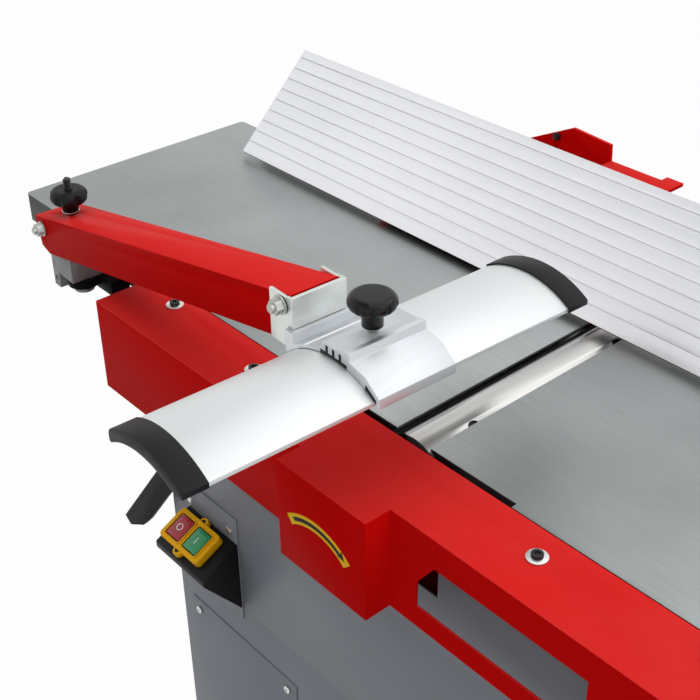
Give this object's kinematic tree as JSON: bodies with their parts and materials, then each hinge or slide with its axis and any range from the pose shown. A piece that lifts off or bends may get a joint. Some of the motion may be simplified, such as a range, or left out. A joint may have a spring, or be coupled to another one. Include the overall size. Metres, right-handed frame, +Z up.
{
  "type": "planer thicknesser",
  "caption": "Floor standing planer thicknesser with folding tables, tilting fence and arched bridge guard on an arm.",
  "frame": {"origin": "on the floor under the middle of the cutter block", "axes": "+X along the tables towards the infeed end, +Y across towards the fence, +Z up"},
  "size_m": [1.318, 0.7862, 1.017],
  "materials": {
    "painted_red": "glossy powder coat",
    "painted_grey": "satin powder coat",
    "painted_dark": "satin paint",
    "ground_steel": "fine ground",
    "cast_bed": "planed",
    "bare_steel": "turned",
    "zinc": "zinc plated",
    "bronze": "turned",
    "grey_cast": "as cast",
    "aluminium_guard": "satin anodised",
    "aluminium_fence": "brushed anodised",
    "black_plastic": "fine grain",
    "black_steel": "satin black",
    "belt_rubber": "matt",
    "yellow_plastic": "satin",
    "red_plastic": "satin",
    "green_plastic": "satin"
  },
  "bodies": {
    "machine": {"base_cabinet": "painted_grey", "front_panel": "painted_grey", "front_side_frame": "painted_red", "rear_side_frame": "painted_red", "front_cover": "painted_red", "rear_cover": "painted_red", "cover_screws": "zinc", "bearing_housings": "painted_dark", "cutter_bearings": "bare_steel", "motor": "painted_dark", "drive_belt": "belt_rubber", "feed_chain": "bare_steel", "roller_bushes": "bronze", "kickback_shaft": "bare_steel", "table_column": "painted_dark", "dust_hood": "black_plastic", "switch_plate": "painted_grey", "switch_box": "black_plastic", "switch_frame": "yellow_plastic", "cable_gland": "black_plastic", "hinge_pins": "bare_steel"},
    "cutter": {"cutter_block": "bare_steel", "planer_knives": "bare_steel", "knife_wedges": "bare_steel", "cutter_pulley": "painted_dark"},
    "motor_rotor": {"motor_shaft": "bare_steel", "motor_pulley": "painted_dark"},
    "reducer": {"feed_reducer": "painted_dark"},
    "serrated_roller": {"infeed_roller": "bare_steel"},
    "smooth_roller": {"outfeed_roller": "bare_steel"},
    "kickback": {"kickback_fingers": "bare_steel"},
    "thicknessing_bed": {"thickness_table": "cast_bed"},
    "lift": {"lift_screw": "bare_steel"},
    "hand_wheel": {"handwheel_shaft": "bare_steel", "handwheel": "black_plastic"},
    "wheel_grip": {"handwheel_grip": "black_plastic"},
    "outfeed": {"outfeed_table": "ground_steel", "fence_guide": "painted_dark", "guard_mount": "grey_cast"},
    "carrier": {"infeed_carrier": "painted_dark"},
    "infeed": {"infeed_table": "ground_steel"},
    "depth": {"depth_lever": "black_steel"},
    "outfeed_lock": {"outfeed_lock_lever": "black_steel"},
    "infeed_lock": {"infeed_lock_lever": "black_steel"},
    "fence_base": {"fence_slide": "painted_red", "fence_bolts": "black_steel"},
    "fence": {"fence_profile": "aluminium_fence"},
    "fence_clamp": {"fence_clamp_lever": "black_steel"},
    "guard_block": {"guard_pivot_block": "grey_cast"},
    "arm": {"guard_arm": "painted_red", "arm_bolts": "zinc"},
    "stud": {"height_stud": "black_steel"},
    "knob": {"height_knob": "black_plastic"},
    "saddle": {"guard_bracket": "zinc", "guard_saddle": "aluminium_guard", "saddle_pads": "black_plastic"},
    "clamp": {"clamp_knob": "black_plastic"},
    "guard": {"guard_profile": "aluminium_guard", "guard_end_caps": "black_plastic"},
    "stop": {"stop_button": "red_plastic"},
    "start": {"start_button": "green_plastic"}
  },
  "joints": [
    {"name": "motor_spin", "type": "hinge", "parent": "machine", "child": "motor_rotor", "pos_m": [0, 0, 0.098], "axis": [0, 1, 0], "continuous": true},
    {"name": "cutter_spin", "type": "hinge", "parent": "machine", "child": "cutter", "pos_m": [0, 0, 0.813], "axis": [0, 1, 0], "continuous": true},
    {"name": "feed_spin", "type": "hinge", "parent": "machine", "child": "reducer", "pos_m": [0, 0, 0.813], "axis": [0, 1, 0], "continuous": true},
    {"name": "serrated_roller_spin", "type": "hinge", "parent": "machine", "child": "serrated_roller", "pos_m": [-0.058, 0, 0.7913], "axis": [0, 1, 0], "continuous": true},
    {"name": "smooth_roller_spin", "type": "hinge", "parent": "machine", "child": "smooth_roller", "pos_m": [0.058, 0, 0.7913], "axis": [0, 1, 0], "continuous": true},
    {"name": "kickback_swing", "type": "hinge", "parent": "machine", "child": "kickback", "pos_m": [-0.1, 0, 0.8], "axis": [0, -1, 0], "range_deg": [0, 50]},
    {"name": "handwheel_turn", "type": "hinge", "parent": "machine", "child": "hand_wheel", "pos_m": [0, -0.265, 0.2227], "axis": [0, 1, 0], "range_deg": [-4050, 5400]},
    {"name": "lift_turn", "type": "hinge", "parent": "machine", "child": "lift", "pos_m": [0, 0, 0.24], "axis": [0, 0, 1], "range_deg": [-2025, 2700]},
    {"name": "bed_lift", "type": "slide", "parent": "machine", "child": "thicknessing_bed", "axis": [0, 0, 1], "range_m": [-0.045, 0.06]},
    {"name": "grip_spin", "type": "hinge", "parent": "hand_wheel", "child": "wheel_grip", "pos_m": [0.084, -0.29, 0.2227], "axis": [0, 1, 0], "continuous": true},
    {"name": "outfeed_fold", "type": "hinge", "parent": "machine", "child": "outfeed", "pos_m": [0, 0.185, 0.822], "axis": [-1, 0, 0], "range_deg": [0, 85]},
    {"name": "infeed_fold", "type": "hinge", "parent": "machine", "child": "carrier", "pos_m": [0, 0.185, 0.822], "axis": [-1, 0, 0], "range_deg": [0, 85]},
    {"name": "depth_lever_turn", "type": "hinge", "parent": "carrier", "child": "depth", "pos_m": [0.43, -0.17, 0.826], "axis": [0, 1, 0], "range_deg": [0, 90]},
    {"name": "infeed_depth", "type": "slide", "parent": "carrier", "child": "infeed", "axis": [0, 0, 1], "range_m": [-0.004, 0]},
    {"name": "outfeed_lock_turn", "type": "hinge", "parent": "machine", "child": "outfeed_lock", "pos_m": [-0.3, -0.205, 0.685], "axis": [0, 1, 0], "range_deg": [0, 40]},
    {"name": "infeed_lock_turn", "type": "hinge", "parent": "machine", "child": "infeed_lock", "pos_m": [0.3, -0.205, 0.685], "axis": [0, -1, 0], "range_deg": [0, 40]},
    {"name": "fence_move", "type": "slide", "parent": "outfeed", "child": "fence_base", "axis": [0, 1, 0], "range_m": [-0.15, 0.035]},
    {"name": "fence_tilt", "type": "hinge", "parent": "fence_base", "child": "fence", "pos_m": [-0.23, 0.1012, 0.8566], "axis": [1, 0, 0], "range_deg": [0, 45]},
    {"name": "fence_clamp_turn", "type": "hinge", "parent": "outfeed", "child": "fence_clamp", "pos_m": [-0.2, 0.188, 0.86], "axis": [0, 0, -1], "range_deg": [0, 60]},
    {"name": "guard_swing", "type": "hinge", "parent": "outfeed", "child": "guard_block", "pos_m": [-0.475, -0.197, 0.83], "axis": [0, 0, 1], "range_deg": [-60, 2.34]},
    {"name": "guard_height", "type": "hinge", "parent": "guard_block", "child": "arm", "pos_m": [-0.50893, -0.19461, 0.879], "axis": [0.0408, 0.9992, 0], "range_deg": [-3, 10.8]},
    {"name": "height_stud_move", "type": "slide", "parent": "guard_block", "child": "stud", "axis": [0, 0, 1], "range_m": [-0.0049, 0.0014]},
    {"name": "height_knob_turn", "type": "hinge", "parent": "stud", "child": "knob", "pos_m": [-0.48395, -0.19563, 0.91], "axis": [0, 0, 1], "range_deg": [-989, 275]},
    {"name": "guard_level", "type": "hinge", "parent": "arm", "child": "saddle", "pos_m": [-0.0643, -0.21278, 0.988], "axis": [0.0408, 0.9992, 0], "range_deg": [-10.8, 3]},
    {"name": "clamp_knob_turn", "type": "hinge", "parent": "saddle", "child": "clamp", "pos_m": [0.00742, -0.20871, 1], "axis": [0, 0, 1], "range_deg": [0, 360]},
    {"name": "guard_reach", "type": "slide", "parent": "saddle", "child": "guard", "axis": [0.0408, 0.9992, 0], "range_m": [-0.125, 0.08]},
    {"name": "stop_press", "type": "slide", "parent": "machine", "child": "stop", "axis": [0, 0.4473, -0.8944], "range_m": [0, 0.003], "stiffness_N_per_m": 400, "springref_m": -0.002},
    {"name": "start_press", "type": "slide", "parent": "machine", "child": "start", "axis": [0, 0.4473, -0.8944], "range_m": [0, 0.003], "stiffness_N_per_m": 400, "springref_m": -0.002}
  ],
  "couplings": [
    {"joint": "cutter_spin", "follows": "motor_spin", "ratio": 1.4286},
    {"joint": "serrated_roller_spin", "follows": "feed_spin", "ratio": 0.76191},
    {"joint": "smooth_roller_spin", "follows": "feed_spin", "ratio": 0.76191},
    {"joint": "lift_turn", "follows": "handwheel_turn", "ratio": 0.5},
    {"joint": "bed_lift", "follows": "handwheel_turn", "m_per_rad": 0.0006366},
    {"joint": "infeed_fold", "follows": "outfeed_fold", "ratio": 1},
    {"joint": "infeed_depth", "follows": "depth_lever_turn", "m_per_rad": -0.002546},
    {"joint": "guard_level", "follows": "guard_height", "ratio": -1},
    {"joint": "height_stud_move", "follows": "guard_height", "m_per_rad": -0.0255},
    {"joint": "height_knob_turn", "follows": "guard_height", "ratio": -91.5}
  ]
}
